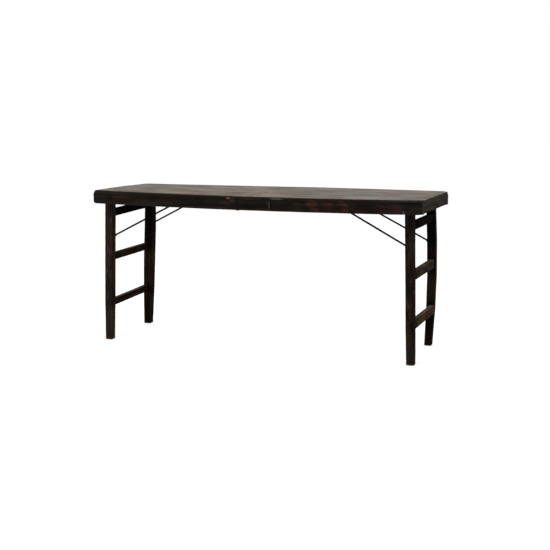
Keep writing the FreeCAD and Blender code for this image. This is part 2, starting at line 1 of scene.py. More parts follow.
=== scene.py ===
"""Looks of a folding console table of dark-stained old wood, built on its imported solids.

The wooden pieces are worn copies of the solids: their arrises are rounded and their faces slightly
hollowed and dented, always inwards. The iron and the bamboo keep the solids' shape, but the nails have
sunk with their boards. Metres, X along the table, Y to the back.
"""
import json
import math

import bpy
import numpy as np
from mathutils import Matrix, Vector

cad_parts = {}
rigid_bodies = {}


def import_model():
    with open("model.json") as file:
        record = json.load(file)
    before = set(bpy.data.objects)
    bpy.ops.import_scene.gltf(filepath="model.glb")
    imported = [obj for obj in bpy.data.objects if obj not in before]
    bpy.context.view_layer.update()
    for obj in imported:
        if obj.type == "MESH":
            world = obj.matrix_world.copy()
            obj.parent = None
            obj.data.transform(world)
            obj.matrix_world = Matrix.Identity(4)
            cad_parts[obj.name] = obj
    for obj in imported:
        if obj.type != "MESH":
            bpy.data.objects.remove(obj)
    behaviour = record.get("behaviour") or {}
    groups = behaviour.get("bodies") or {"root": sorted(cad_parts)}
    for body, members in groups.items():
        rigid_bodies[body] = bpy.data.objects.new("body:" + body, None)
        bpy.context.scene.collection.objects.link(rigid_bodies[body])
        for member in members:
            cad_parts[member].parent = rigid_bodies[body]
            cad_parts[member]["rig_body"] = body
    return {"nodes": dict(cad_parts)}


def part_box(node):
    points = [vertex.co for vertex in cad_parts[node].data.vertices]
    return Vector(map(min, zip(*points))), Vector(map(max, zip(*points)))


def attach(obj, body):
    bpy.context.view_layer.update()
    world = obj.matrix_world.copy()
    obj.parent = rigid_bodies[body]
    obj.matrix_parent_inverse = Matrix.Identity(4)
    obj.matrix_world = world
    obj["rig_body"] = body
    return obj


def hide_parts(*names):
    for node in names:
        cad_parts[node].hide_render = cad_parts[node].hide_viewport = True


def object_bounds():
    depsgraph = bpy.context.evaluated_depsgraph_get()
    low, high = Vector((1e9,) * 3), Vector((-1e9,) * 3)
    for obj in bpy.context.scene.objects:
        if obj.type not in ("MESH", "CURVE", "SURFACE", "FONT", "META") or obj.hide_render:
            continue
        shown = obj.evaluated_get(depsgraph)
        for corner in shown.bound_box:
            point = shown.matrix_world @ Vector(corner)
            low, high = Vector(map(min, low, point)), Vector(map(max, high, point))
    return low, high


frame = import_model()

cad_low, cad_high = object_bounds()

# ---------------------------------------------------------------- camera
# A long lens at standing height, to the right of the table's middle and well back from it.

LENS_MM = 69.354
SENSOR_MM = 36
CAMERA_PLACE = (1.91418, -4.98139, 1.20495)
# In degrees, up from straight down and round to the left.
CAMERA_TILT = 80.899
CAMERA_TURN = 20.738

camera_data = bpy.data.cameras.new("camera")
camera_data.lens = LENS_MM
camera_data.sensor_width = SENSOR_MM
camera = bpy.data.objects.new("camera", camera_data)
camera.location = CAMERA_PLACE
camera.rotation_euler = (math.radians(CAMERA_TILT), 0, math.radians(CAMERA_TURN))
bpy.context.scene.collection.objects.link(camera)
bpy.context.scene.camera = camera
bpy.context.scene.view_settings.view_transform = "Standard"

# ---------------------------------------------------------------- studio
# White surroundings and a white floor that keeps a faint shadow. A broad lamp hangs over the table, a
# second one stands in front on the left, and a weak one beyond the right end.

SKY_ON_OBJECT = 0.36
FLOOR_SIZE = 60
FLOOR_GLOW = 0.665
FLOOR_WHITE = (0.95, 0.95, 0.95, 1)
WHITE = (1, 1, 1, 1)
LAMP_TARGET = (0, 0, 0.6)
# Each lamp: its name, its place, its power in watts and its width.
LAMPS = (
    ("ceiling_lamp", (0.1, 0.2, 3.0), 24, 2.4),
    ("front_lamp", (-0.8, -2.8, 3.2), 34, 2.0),
    ("end_lamp", (3.2, 0.3, 2.0), 2.5, 1.6),
)


def seen_directly(tree):
    """1 for rays from the camera, from gloss and through glass, and 0 for the light on matt faces."""
    path = tree.nodes.new("ShaderNodeLightPath")
    total = None
    for ray in ("Is Camera Ray", "Is Glossy Ray", "Is Transmission Ray"):
        if total is None:
            total = path.outputs[ray]
            continue
        either = tree.nodes.new("ShaderNodeMath")
        either.operation = "MAXIMUM"
        tree.links.new(total, either.inputs[0])
        tree.links.new(path.outputs[ray], either.inputs[1])
        total = either.outputs[0]
    return total


def bare_material(name):
    """A new material and its empty node tree."""
    material = bpy.data.materials.new(name)
    material.use_nodes = True
    material.node_tree.nodes.clear()
    return material, material.node_tree


world = bpy.data.worlds.new("white_surroundings")
bpy.context.scene.world = world
world.use_nodes = True
tree = world.node_tree
tree.nodes.clear()
strength = tree.nodes.new("ShaderNodeMapRange")
strength.inputs["To Min"].default_value = SKY_ON_OBJECT
strength.inputs["To Max"].default_value = 1.0
tree.links.new(seen_directly(tree), strength.inputs["Value"])
surroundings = tree.nodes.new("ShaderNodeBackground")
surroundings.inputs["Color"].default_value = WHITE
tree.links.new(strength.outputs[0], surroundings.inputs["Strength"])
output = tree.nodes.new("ShaderNodeOutputWorld")
tree.links.new(surroundings.outputs[0], output.inputs["Surface"])

for name, place, energy, width in LAMPS:
    lamp_data = bpy.data.lights.new(name, "AREA")
    lamp_data.energy = energy
    lamp_data.size = width
    lamp = bpy.data.objects.new(name, lamp_data)
    lamp.location = place
    lamp.rotation_euler = (Vector(LAMP_TARGET) - Vector(place)).to_track_quat("-Z", "Y").to_euler()
    bpy.context.scene.collection.objects.link(lamp)

bpy.ops.object.select_all(action="DESELECT")
bpy.ops.mesh.primitive_plane_add(size=FLOOR_SIZE, location=(0, 0, 0))
floor = bpy.context.object
floor.name = "floor"
floor_paint, tree = bare_material("white_floor")
glow_strength = tree.nodes.new("ShaderNodeMath")
glow_strength.operation = "MULTIPLY"
glow_strength.inputs[1].default_value = FLOOR_GLOW
tree.links.new(seen_directly(tree), glow_strength.inputs[0])
glow = tree.nodes.new("ShaderNodeEmission")
glow.inputs["Color"].default_value = WHITE
tree.links.new(glow_strength.outputs[0], glow.inputs["Strength"])
matt = tree.nodes.new("ShaderNodeBsdfDiffuse")
matt.inputs["Color"].default_value = FLOOR_WHITE
both = tree.nodes.new("ShaderNodeAddShader")
tree.links.new(glow.outputs[0], both.inputs[0])
tree.links.new(matt.outputs[0], both.inputs[1])
output = tree.nodes.new("ShaderNodeOutputMaterial")
tree.links.new(both.outputs[0], output.inputs["Surface"])
floor.data.materials.append(floor_paint)

# ---------------------------------------------------------------- the three boards and the two long rails
# Three old planks are nailed over two long rails, and front board and front rail are flush, as one
# face, stained nearly black. The top is a paler dusty brown, partly worn by hands and cloths and
# partly painted light and sheen from above. Hands and cloths have also rounded the arrises, and the
# front has old knocks: a chip of bare wood, a split, and rubbed reddish places.

# A skin is the size of a piece's small faces. A place that has lost half of that is fully worn.
BOARD_SKIN = 0.0029
RAIL_SKIN = 0.0022
ROUNDING_PASSES = 2
ROUNDING = 0.5
FULLY_WORN = 0.5
# The depth of the broad hollows. The small dents in them are half as deep.
SLAB_DENT = 0.0008
DENT_SHARE = 0.5
HOLLOW_SIZE = 0.11
DENT_SIZE = 0.018
# Where board and rail lie flush, the wood next to their joint keeps its edge.
FLUSH_DEPTH = 0.009
PAST_JOINT = 0.001
FRONT_STAIN = (0.0036, 0.0024, 0.0018)
FRONT_BROWN = (0.0175, 0.0102, 0.0071)
FRONT_RUBBED = (0.06, 0.032, 0.022)
# The top's colours are paler than the front's, partly worn, dusty wood and partly painted light and sheen
# from above.
TOP_BROWN = (0.086, 0.059, 0.035)
TOP_DUSTY_AND_LIT = (0.145, 0.104, 0.061)
TOP_GREY = (0.100, 0.090, 0.066)
TOP_SMUDGE = (0.062, 0.060, 0.054)
TOP_WARM = (0.26, 0.150, 0.080)
SMUT = (0.0036, 0.0028, 0.0024)
END_GREY = (0.060, 0.052, 0.037)
END_DARK = (0.020, 0.0175, 0.013)
RED_BROWN = (0.100, 0.034, 0.021)
BARE_WOOD = (0.30, 0.150, 0.066)
# The dark of splits and joints, also used for a painted shadow at a knocked arris.
SPLIT_AND_SHADOW_DARK = (0.003, 0.0022, 0.002)
PALE_SCRATCH = (0.14, 0.125, 0.112)
# Each pattern of the wood: the share of its fineness that is left along the grain, its fineness across
# the grain, and its detail.
FIBRES = (0.04, 170, 8)
STREAKS = (0.04, 42, 5)
BROAD_STREAKS = (0.22, 9, 4)
PATCHES = (0.3, 42, 6)
RIBBONS = (0.07, 80, 4)
DUST_TINT = (1, 0.96, 0.86)
RED_TINT = (1.4, 1.05, 1.1)
OLIVE_TINT = (0.53, 0.67, 0.65)
SMUT_TINT = (0.7, 0.7, 0.7)
PORE_DARKNESS = 0.55
FIBRE_RELIEF = 0.0012
RELIEF_STRENGTH = 0.5
PATTERN_ROUGHNESS = 0.62
# The sides of the table, from its solids, and the levels of the top's worn face and of its arrises.
LEFT, FRONT, _ = cad_low
RIGHT, BACK, _ = cad_high
TOP = 0.780
ARRIS = 0.7805
# How deep most marks go, and the half length of one that runs from end to end.
MARK_DEPTH = 0.012
ALL_ALONG = 3.0
# A weaker mark than the first fades along the grain. From the second on it has no polish left.
FADING_BELOW = 0.75
MATT_FROM = 0.9
# Each mark: its middle, its half sizes, its colour, and how strong it is. From left to right the front
# has a grey end, faint streaks, a chip and a split, pale scratches, red patches, and a grey end again.
FRONT_MARKS = (
    ((-0.815, FRONT, 0.745), (0.050, MARK_DEPTH, 0.045), (0.021, 0.020, 0.020), 0.5),
    ((-0.720, FRONT, 0.770), (0.120, MARK_DEPTH, 0.009), (0.036, 0.026, 0.019), 0.6),
    ((-0.690, FRONT, 0.750), (0.070, MARK_DEPTH, 0.012), (0.038, 0.018, 0.0145), 0.6),
    ((-0.620, FRONT, 0.718), (0.190, MARK_DEPTH, 0.010), (0.036, 0.0165, 0.0125), 0.74),
    ((-0.480, FRONT, 0.727), (0.130, MARK_DEPTH, 0.010), (0.017, 0.019, 0.014), 0.7),
    ((-0.350, FRONT, 0.757), (0.200, MARK_DEPTH, 0.013), SMUT, 0.74),
    ((-0.250, FRONT, 0.716), (0.140, MARK_DEPTH, 0.011), (0.036, 0.019, 0.013), 0.7),
    ((-0.125, FRONT, 0.728), (0.045, MARK_DEPTH, 0.022), (0.050, 0.022, 0.020), 0.6),
    ((-0.080, FRONT, 0.755), (0.022, MARK_DEPTH, 0.014), (0.050, 0.043, 0.038), 0.6),
    ((-0.105, FRONT, 0.7625), (0.013, MARK_DEPTH, 0.0042), BARE_WOOD, 1.0),
    ((-0.058, FRONT, 0.736), (0.0032, MARK_DEPTH, 0.031), SPLIT_AND_SHADOW_DARK, 0.9),
    ((0.010, FRONT, 0.762), (0.060, MARK_DEPTH, 0.0045), (0.040, 0.035, 0.030), 0.6),
    ((0.150, FRONT, 0.740), (0.100, MARK_DEPTH, 0.016), SMUT, 0.74),
    ((0.585, FRONT, 0.745), (0.065, MARK_DEPTH, 0.026), SMUT, 0.74),
    ((0.107, FRONT, 0.740), (0.0024, MARK_DEPTH, 0.022), PALE_SCRATCH, 0.75),
    ((0.097, FRONT, 0.748), (0.0024, MARK_DEPTH, 0.018), PALE_SCRATCH, 0.55),
    ((0.100, FRONT, 0.717), (0.020, MARK_DEPTH, 0.0035), PALE_SCRATCH, 0.5),
    ((0.145, FRONT, 0.7660), (0.046, 0.014, 0.0050), (0.10, 0.090, 0.080), 0.8),
    # A painted shadow of the dent in the arris, on the top just behind it.
    ((0.150, FRONT + 0.008, 0.7790), (0.050, 0.024, 0.0100), SPLIT_AND_SHADOW_DARK, 0.95),
    ((0.250, FRONT, 0.738), (0.030, MARK_DEPTH, 0.020), RED_BROWN, 0.25),
    ((0.322, FRONT, 0.744), (0.040, MARK_DEPTH, 0.026), RED_BROWN, 0.55),
    ((0.340, FRONT, 0.722), (0.022, MARK_DEPTH, 0.012), RED_BROWN, 0.4),
    ((0.402, FRONT, 0.744), (0.042, MARK_DEPTH, 0.016), RED_BROWN, 0.65),
    ((0.470, FRONT, 0.745), (0.034, MARK_DEPTH, 0.024), RED_BROWN, 0.6),
    ((0.484, FRONT, 0.733), (0.026, MARK_DEPTH, 0.022), RED_BROWN, 0.6),
    ((0.690, FRONT, 0.742), (0.080, MARK_DEPTH, 0.036), (0.036, 0.017, 0.0155), 0.6),
    ((0.738, FRONT, 0.733), (0.030, MARK_DEPTH, 0.022), (0.060, 0.026, 0.020), 0.6),
    ((0.762, FRONT, 0.7235), (0.006, MARK_DEPTH, 0.008), (0.15, 0.12, 0.10), 0.8),
    ((0.805, FRONT, 0.740), (0.060, MARK_DEPTH, 0.045), (0.0150, 0.0150, 0.0150), 0.6),
    ((0.745, FRONT, 0.7745), (0.120, 0.016, 0.0080), (0.045, 0.039, 0.038), 0.8),
    ((0.790, FRONT, 0.7665), (0.085, MARK_DEPTH, 0.0042), SPLIT_AND_SHADOW_DARK, 0.9),
)
# Two broad tints, dark bands along three of the sides, and smudged or warm places.
TOP_MARKS = (
    ((0.420, 0.020, TOP), (0.420, 0.300, MARK_DEPTH), (0.082, 0.082, 0.078), 0.6),
    ((-0.750, 0.100, TOP), (0.160, 0.160, MARK_DEPTH), (0.110, 0.068, 0.042), 0.5),
    ((0.0, FRONT, TOP), (ALL_ALONG, 0.031, 0.020), (0.022, 0.0150, 0.0105), 0.95),
    ((LEFT, 0.0, TOP), (0.014, ALL_ALONG, 0.020), (0.034, 0.0240, 0.0170), 0.9),
    ((0.0, BACK, TOP), (ALL_ALONG, 0.030, 0.020), (0.036, 0.0270, 0.0185), 0.9),
    ((-0.700, -0.100, TOP), (0.150, 0.014, MARK_DEPTH), (0.040, 0.030, 0.022), 0.7),
    ((-0.450, -0.200, TOP), (0.200, 0.045, MARK_DEPTH), TOP_WARM, 0.5),
    ((-0.273, -0.013, TOP), (0.060, 0.035, MARK_DEPTH), TOP_SMUDGE, 0.74),
    ((-0.020, 0.120, TOP), (0.160, 0.050, MARK_DEPTH), TOP_SMUDGE, 0.5),
    ((0.160, -0.235, TOP), (0.130, 0.035, MARK_DEPTH), TOP_SMUDGE, 0.74),
    ((0.537, -0.193, TOP), (0.110, 0.040, MARK_DEPTH), TOP_WARM, 0.74),
    ((0.624, 0.111, TOP), (0.070, 0.050, MARK_DEPTH), TOP_WARM, 0.7),
    ((0.400, 0.050, TOP), (0.120, 0.050, MARK_DEPTH), TOP_SMUDGE, 0.5),
    ((0.790, 0.200, TOP), (0.026, 0.030, MARK_DEPTH), (0.115, 0.072, 0.046), 0.5),
    ((0.740, -0.120, TOP), (0.060, 0.030, MARK_DEPTH), (0.045, 0.036, 0.028), 0.6),
    ((0.690, -0.200, TOP), (0.110, 0.050, MARK_DEPTH), TOP_SMUDGE, 0.5),
)
# Each knock: its middle, its half sizes, and how far it moves the wood.
BOARD_KNOCKS = (
    ((-0.105, FRONT, 0.7625), (0.020, 0.010, 0.007), (0, 0.0030, 0)),
    ((-0.058, FRONT, 0.765), (0.0030, 0.008, 0.012), (0, 0.0040, 0)),
    ((0.140, FRONT, 0.7740), (0.046, 0.012, 0.009), (0, 0.0030, -0.0026)),
    ((-0.420, FRONT, 0.7760), (0.030, 0.010, 0.006), (0, 0.0015, -0.0015)),
    ((0.560, FRONT, 0.7765), (0.024, 0.010, 0.006), (0, 0.0015, -0.0012)),
    ((RIGHT, FRONT, ARRIS), (0.022, 0.022, 0.014), (-0.0045, 0.0035, -0.0045)),
    ((LEFT, FRONT, ARRIS), (0.017, 0.022, 0.015), (0.0040, 0.0030, -0.0035)),
)
BACK_KNOCKS = (
    ((RIGHT, BACK, ARRIS), (0.022, 0.024, 0.016), (-0.0045, -0.0045, -0.0055)),
    ((LEFT, BACK, ARRIS), (0.020, 0.022, 0.014), (0.0035, -0.0035, -0.0035)),
)
# The top has sunk a little at the back on the left.
TOP_SUNK = ((-0.700, BACK, ARRIS), (0.850, 0.260, 0.022), (0, 0, -0.0042))
RAIL_KNOCKS = (
    ((LEFT, FRONT, 0.7135), (0.014, 0.022, 0.010), (0.0020, 0.0020, 0.0020)),
    ((RIGHT, FRONT, 0.7135), (0.018, 0.022, 0.012), (-0.0040, 0.0025, 0.0035)),
    ((-0.058, FRONT, 0.730), (0.0030, 0.008, 0.030), (0, 0.0040, 0)),
    ((-0.056, FRONT + 0.006, 0.7055), (0.010, 0.014, 0.007), (0, 0, -0.0030)),
    ((0.762, FRONT, 0.7150), (0.008, 0.012, 0.008), (0, 0.0030, 0.0020)),
    ((0.102, FRONT, 0.735), (0.0030, 0.006, 0.020), (0, 0.0012, 0)),
)


def joined_copy(node, name):
    """A copy of a solid, selected alone, with its loose triangles joined and no stored normals."""
    bpy.ops.object.select_all(action="DESELECT")
    piece = bpy.data.objects.new(name, frame["nodes"][node].data.copy())
    bpy.context.scene.collection.objects.link(piece)
    piece.select_set(True)
    bpy.context.view_layer.objects.active = piece
    bpy.ops.object.mode_set(mode="EDIT")
    bpy.ops.mesh.select_all(action="SELECT")
    bpy.ops.mesh.remove_doubles(threshold=1e-5)
    bpy.ops.object.mode_set(mode="OBJECT")
    bpy.ops.mesh.customdata_custom_splitnormals_clear()
    piece.data.materials.clear()
    return piece


def worn_copy(node, skin, dent, flat_band=None):
    """A copy of a solid with an even skin of small faces, worn round at its arrises.

    Nothing is rounded between the two heights of flat_band, where a neighbour lies flush. The attribute
    "wear" holds, from 0 to 1, how much wood each place has lost.
    """
    piece = joined_copy(node, f"{node}_worn")
    piece.data.remesh_voxel_size = skin
    bpy.ops.object.voxel_remesh()
    count = len(piece.data.vertices)
    sharp = np.empty(count * 3, np.float32)
    piece.data.vertices.foreach_get("co", sharp)
    rounded = np.ones(count, bool)
    if flat_band:
        heights = sharp.reshape(-1, 3)[:, 2]
        rounded = (heights < flat_band[0]) | (heights > flat_band[1])
    bpy.ops.object.mode_set(mode="EDIT")
    bpy.ops.mesh.select_mode(type="VERT")
    bpy.ops.mesh.select_all(action="DESELECT")
    bpy.ops.object.mode_set(mode="OBJECT")
    piece.data.vertices.foreach_set("select", rounded)
    bpy.ops.object.mode_set(mode="EDIT")
    bpy.ops.mesh.vertices_smooth(factor=ROUNDING, repeat=ROUNDING_PASSES)
    bpy.ops.object.mode_set(mode="OBJECT")
    worn = np.empty(count * 3, np.float32)
    piece.data.vertices.foreach_get("co", worn)
    lost = np.linalg.norm((sharp - worn).reshape(-1, 3), axis=1)
    wear = piece.data.attributes.new("wear", "FLOAT", "POINT")
    wear.data.foreach_set("value", np.clip(lost / (FULLY_WORN * skin), 0, 1).astype(np.float32))
    presses = (("hollows", HOLLOW_SIZE, dent), ("dents", DENT_SIZE, dent * DENT_SHARE))
    for texture_name, scale, depth in presses:
        texture = bpy.data.textures.get(texture_name) or bpy.data.textures.new(texture_name, "CLOUDS")
        texture.noise_scale = scale
        press = piece.modifiers.new(texture_name, "DISPLACE")
        press.texture = texture
        press.texture_coords = "LOCAL"
        press.mid_level = 0
        press.strength = -depth
        bpy.ops.object.modifier_apply(modifier=press.name)
    bpy.ops.object.shade_smooth()
    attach(piece, frame["nodes"][node]["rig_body"])
    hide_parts(node)
    return piece


def knock(piece, knocks):
    """Move the wood of the active piece at each knock, most in its middle and not at all at its rim."""
    count = len(piece.data.vertices)
    points = np.empty(count * 3, np.float32)
    piece.data.vertices.foreach_get("co", points)
    points = points.reshape(-1, 3)
    for middle, half_sizes, push in knocks:
        reach = np.linalg.norm((points - np.array(middle)) / np.array(half_sizes), axis=1)
        hit = np.nonzero(reach < 1)[0]
        group = piece.vertex_groups.new(name="knock")
        for vertex in hit:
            group.add([int(vertex)], float(1 - reach[vertex] ** 2), "REPLACE")
        group_name = group.name
        for axis, distance in zip("XYZ", push):
            if distance:
                shift = piece.modifiers.new("knock", "DISPLACE")
                shift.direction = axis
                shift.mid_level = 0
                shift.strength = distance
                shift.vertex_group = group_name
                bpy.ops.object.modifier_apply(modifier=shift.name)
        piece.vertex_groups.remove(piece.vertex_groups[group_name])


def mix_colours(tree, factor, first, second):
    """A mix of two colours, each a socket or plain values."""
    mixed = tree.nodes.new("ShaderNodeMix")
    mixed.data_type = "RGBA"
    factor_socket, first_socket, second_socket = (mixed.inputs[number] for number in (0, 6, 7))
    for socket, value in ((factor_socket, factor), (first_socket, first), (second_socket, second)):
        if isinstance(value, bpy.types.NodeSocket):
            tree.links.new(value, socket)
        elif isinstance(value, tuple):
            socket.default_value = (*value, 1)
        else:
            socket.default_value = value
    return mixed.outputs[2]


def arithmetic(tree, operation, first, second):
    """A sum, product and so on, kept between 0 and 1; each side is a socket or a number."""
    made = tree.nodes.new("ShaderNodeMath")
    made.operation = operation
    made.use_clamp = True
    for socket, value in zip(made.inputs, (first, second)):
        if isinstance(value, bpy.types.NodeSocket):
            tree.links.new(value, socket)
        else:
            socket.default_value = value
    return made.outputs[0]


def weighted_sum(tree, first, first_share, second, second_share):
    """Two patterns added, each by its share."""
    first_part = arithmetic(tree, "MULTIPLY", first, first_share)
    second_part = arithmetic(tree, "MULTIPLY", second, second_share)
    return arithmetic(tree, "ADD", first_part, second_part)


def spread(tree, value, low, high, to_low=0.0, to_high=1.0):
    """A value stretched from one range to another, with soft ends."""
    made = tree.nodes.new("ShaderNodeMapRange")
    made.interpolation_type = "SMOOTHSTEP"
    tree.links.new(value, made.inputs["Value"])
    limits = {"From Min": low, "From Max": high, "To Min": to_low, "To Max": to_high}
    for name, number in limits.items():
        made.inputs[name].default_value = number
    return made.outputs[0]


def tinted(colour, tint):
    """A colour with each of its three parts scaled."""
    return tuple(share * part for share, part in zip(tint, colour))


def mottle(tree, stretch, scale, detail=6.0, place=(0, 0, 0)):
    """An even random pattern over the object's own coordinates, stretched by the given factors."""
    coordinates = tree.nodes.new("ShaderNodeTexCoord")
    mapping = tree.nodes.new("ShaderNodeMapping")
    mapping.inputs["Scale"].default_value = stretch
    mapping.inputs["Location"].default_value = place
    made = tree.nodes.new("ShaderNodeTexNoise")
    made.inputs["Scale"].default_value = scale
    made.inputs["Detail"].default_value = detail
    made.inputs["Roughness"].default_value = PATTERN_ROUGHNESS
    tree.links.new(coordinates.outputs["Object"], mapping.inputs["Vector"])
    tree.links.new(mapping.outputs[0], made.inputs["Vector"])
    return made.outputs[0]


def along_grain(tree, pattern, grain, shift):
    """One of the wood's patterns, drawn out along the grain and moved by shift."""
    share, fineness, detail = pattern
    stretch = [share if axis == grain else 1.0 for axis in range(3)]
    return mottle(tree, stretch, fineness, detail, shift)


def ragged_mark(tree, middle, half_sizes, ragged):
    """1 inside a rounded place with a ragged outline, 0 outside it. ragged is about 0.5 all over."""
    coordinates = tree.nodes.new("ShaderNodeTexCoord")
    mapping = tree.nodes.new("ShaderNodeMapping")
    mapping.vector_type = "TEXTURE"
    mapping.inputs["Location"].default_value = middle
    mapping.inputs["Scale"].default_value = half_sizes
    tree.links.new(coordinates.outputs["Object"], mapping.inputs["Vector"])
    length = tree.nodes.new("ShaderNodeVectorMath")
    length.operation = "LENGTH"
    tree.links.new(mapping.outputs[0], length.inputs[0])
    reach = tree.nodes.new("ShaderNodeMath")
    reach.operation = "ADD"
    tree.links.new(length.outputs["Value"], reach.inputs[0])
    tree.links.new(ragged, reach.inputs[1])
    return spread(tree, reach.outputs[0], 1.55, 1.0)


def facing(tree, axis):
    """1 on faces that look along an axis of the object: "+Z" is one way, and "X" both ways along X."""
    coordinates = tree.nodes.new("ShaderNodeTexCoord")
    split = tree.nodes.new("ShaderNodeSeparateXYZ")
    tree.links.new(coordinates.outputs["Normal"], split.inputs[0])
    part = split.outputs[axis[-1]]
    if len(axis) == 1:
        either_way = tree.nodes.new("ShaderNodeMath")
        either_way.operation = "ABSOLUTE"
        tree.links.new(part, either_way.inputs[0])
        part = either_way.outputs[0]
    return spread(tree, part, 0.75, 0.97)


def finished_surface(tree, colour, roughness, specular, relief, relief_depth):
    """A plain surface with a colour, a roughness and a small relief, as the material's output."""
    shader = tree.nodes.new("ShaderNodeBsdfPrincipled")
    shader.inputs["Specular IOR Level"].default_value = specular
    tree.links.new(colour, shader.inputs["Base Color"])
    tree.links.new(roughness, shader.inputs["Roughness"])
    bump = tree.nodes.new("ShaderNodeBump")
    bump.inputs["Strength"].default_value = RELIEF_STRENGTH
    bump.inputs["Distance"].default_value = relief_depth
    tree.links.new(relief, bump.inputs["Height"])
    tree.links.new(bump.outputs[0], shader.inputs["Normal"])
    output = tree.nodes.new("ShaderNodeOutputMaterial")
    tree.links.new(shader.outputs[0], output.inputs["Surface"])


def old_timber(
    name, grain, shift, stain, brown, rubbed_and_highlight, roughness=0.5, specular=0.05,
    top=None, ends=None, marks=(),
):
    """Old stained timber. grain is 0, 1 or 2 for the axis that its fibres follow, and shift moves them.

    stain, brown and rubbed are its colours from dark to pale. rubbed is for the worn arrises, and on
    the front posts partly a painted highlight. top holds three colours for the faces that look up,
    paler, partly as painted light from above, and ends a pair for sawn ends. marks are local places
    of another colour.
    """
    material, tree = bare_material(name)
    fibres = along_grain(tree, FIBRES, grain, shift)
    streaks = along_grain(tree, STREAKS, grain, shift)
    broad = along_grain(tree, BROAD_STREAKS, grain, shift)
    patches = along_grain(tree, PATCHES, grain, shift)
    ribbons = along_grain(tree, RIBBONS, grain, shift)
    wear = tree.nodes.new("ShaderNodeAttribute")
    wear.attribute_name = "wear"

    # The stain has worn thin in streaks, and dust lies in patches.
    thin_stain = spread(tree, arithmetic(tree, "MULTIPLY", streaks, broad), 0.17, 0.38)
    colour = mix_colours(tree, thin_stain, stain, brown)
    dust = spread(tree, patches, 0.53, 0.70, to_high=0.3)
    grey = sum(rubbed_and_highlight) / 3
    colour = mix_colours(tree, dust, colour, tinted((grey, grey, grey), DUST_TINT))
    # Ribbons of the wood run redder or greener, and smut darkens it between the patches.
    red = spread(tree, ribbons, 0.50, 0.64, to_high=0.5)
    colour = mix_colours(tree, red, colour, tinted(brown, RED_TINT))
    olive = spread(tree, ribbons, 0.47, 0.34, to_high=0.6)
    colour = mix_colours(tree, olive, colour, tinted(brown, OLIVE_TINT))
    smut = spread(tree, patches, 0.48, 0.36, to_high=0.75)
    colour = mix_colours(tree, smut, colour, tinted(stain, SMUT_TINT))
    # Pale worn arrises, on the front posts partly a painted highlight.
    rubbed_and_highlit_arris = arithmetic(tree, "MULTIPLY", wear.outputs["Fac"], spread(tree, broad, 0.36, 0.60))
    colour = mix_colours(tree, rubbed_and_highlit_arris, colour, rubbed_and_highlight)
    shine = spread(tree, patches, 0.34, 0.66, roughness + 0.13, roughness - 0.08)
    relief = weighted_sum(tree, fibres, 0.45, streaks, 0.5)
    if top:
        # Clouds and ribbons of paler wood, and a grey haze over them, on the faces that look up: painted
        # light from above, and on the boards also worn wood.
        up = facing(tree, "+Z")
        clouds = mottle(tree, (0.6, 1, 1), 10, 6, shift)
        figure = weighted_sum(tree, clouds, 0.6, ribbons, 0.4)
        upper = mix_colours(tree, spread(tree, figure, 0.40, 0.58), top[0], top[1])
        haze = spread(tree, mottle(tree, (0.6, 1, 1), 13, 6), 0.46, 0.60, to_high=0.6)
        upper = mix_colours(tree, haze, upper, top[2])
        colour = mix_colours(tree, up, colour, upper)
        shine_up = spread(tree, clouds, 0.34, 0.66, roughness + 0.08, roughness - 0.05)
        shine = mix_colours(tree, up, shine, shine_up)
        relief = arithmetic(tree, "MULTIPLY", relief, spread(tree, up, 0.0, 1.0, 1.0, 0.5))
    if ends:
        end_grain = spread(tree, mottle(tree, (1, 1, 1), 160, 6, shift), 0.36, 0.62)
        sawn = facing(tree, "XYZ"[grain])
        colour = mix_colours(tree, sawn, colour, mix_colours(tree, end_grain, *ends))
        shine = arithmetic(tree, "MAXIMUM", shine, arithmetic(tree, "MULTIPLY", sawn, 0.9))
    if marks:
        ragged = mottle(tree, (1, 1, 1), 70, 5, shift)
        faded = spread(tree, streaks, 0.36, 0.60)
        for middle, half_sizes, mark_colour, strength in marks:
            place = ragged_mark(tree, middle, half_sizes, ragged)
            mark = arithmetic(tree, "MULTIPLY", place, strength)
            if strength < FADING_BELOW:
                mark = arithmetic(tree, "MULTIPLY", mark, faded)
            if strength >= MATT_FROM:
                shine = arithmetic(tree, "MAXIMUM", shine, mark)
            colour = mix_colours(tree, mark, colour, mark_colour)
    # The pores of the wood are dark, also in the marks.
    pores = spread(tree, fibres, 0.30, 0.46)
    dark_pores = mix_colours(tree, PORE_DARKNESS, colour, (0, 0, 0))
    colour = mix_colours(tree, pores, dark_pores, colour)
    finished_surface(tree, colour, shine, specular, relief, FIBRE_RELIEF)
    return material


top_wood = old_timber(
    "top_wood", 0, (3, 1, 7), FRONT_STAIN, FRONT_BROWN, FRONT_RUBBED, roughness=0.43,
    top=(TOP_BROWN, TOP_DUSTY_AND_LIT, TOP_GREY), ends=(END_DARK, END_GREY), marks=TOP_MARKS + FRONT_MARKS,
)
for node in ("front_board", "middle_board", "back_board"):
    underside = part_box(node)[0][2]
    board = worn_copy(node, BOARD_SKIN, SLAB_DENT, (underside - PAST_JOINT, underside + FLUSH_DEPTH))
    board.data.materials.append(top_wood)
    if node == "front_board":
        knock(board, BOARD_KNOCKS)
    else:
        knock(board, (TOP_SUNK,))
    if node == "back_board":
        knock(board, BACK_KNOCKS)
for node in ("front_rail", "back_rail"):
    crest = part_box(node)[1][2]
    rail = worn_copy(node, RAIL_SKIN, SLAB_DENT, (crest - FLUSH_DEPTH, crest + PAST_JOINT))
    rail.data.materials.append(top_wood)
    if node == "front_rail":
        knock(rail, RAIL_KNOCKS)

# ---------------------------------------------------------------- the end rails and the batten
# Sawn pieces across the table, tenoned into the long rails. They took less stain and have weathered to
# an olive grey.

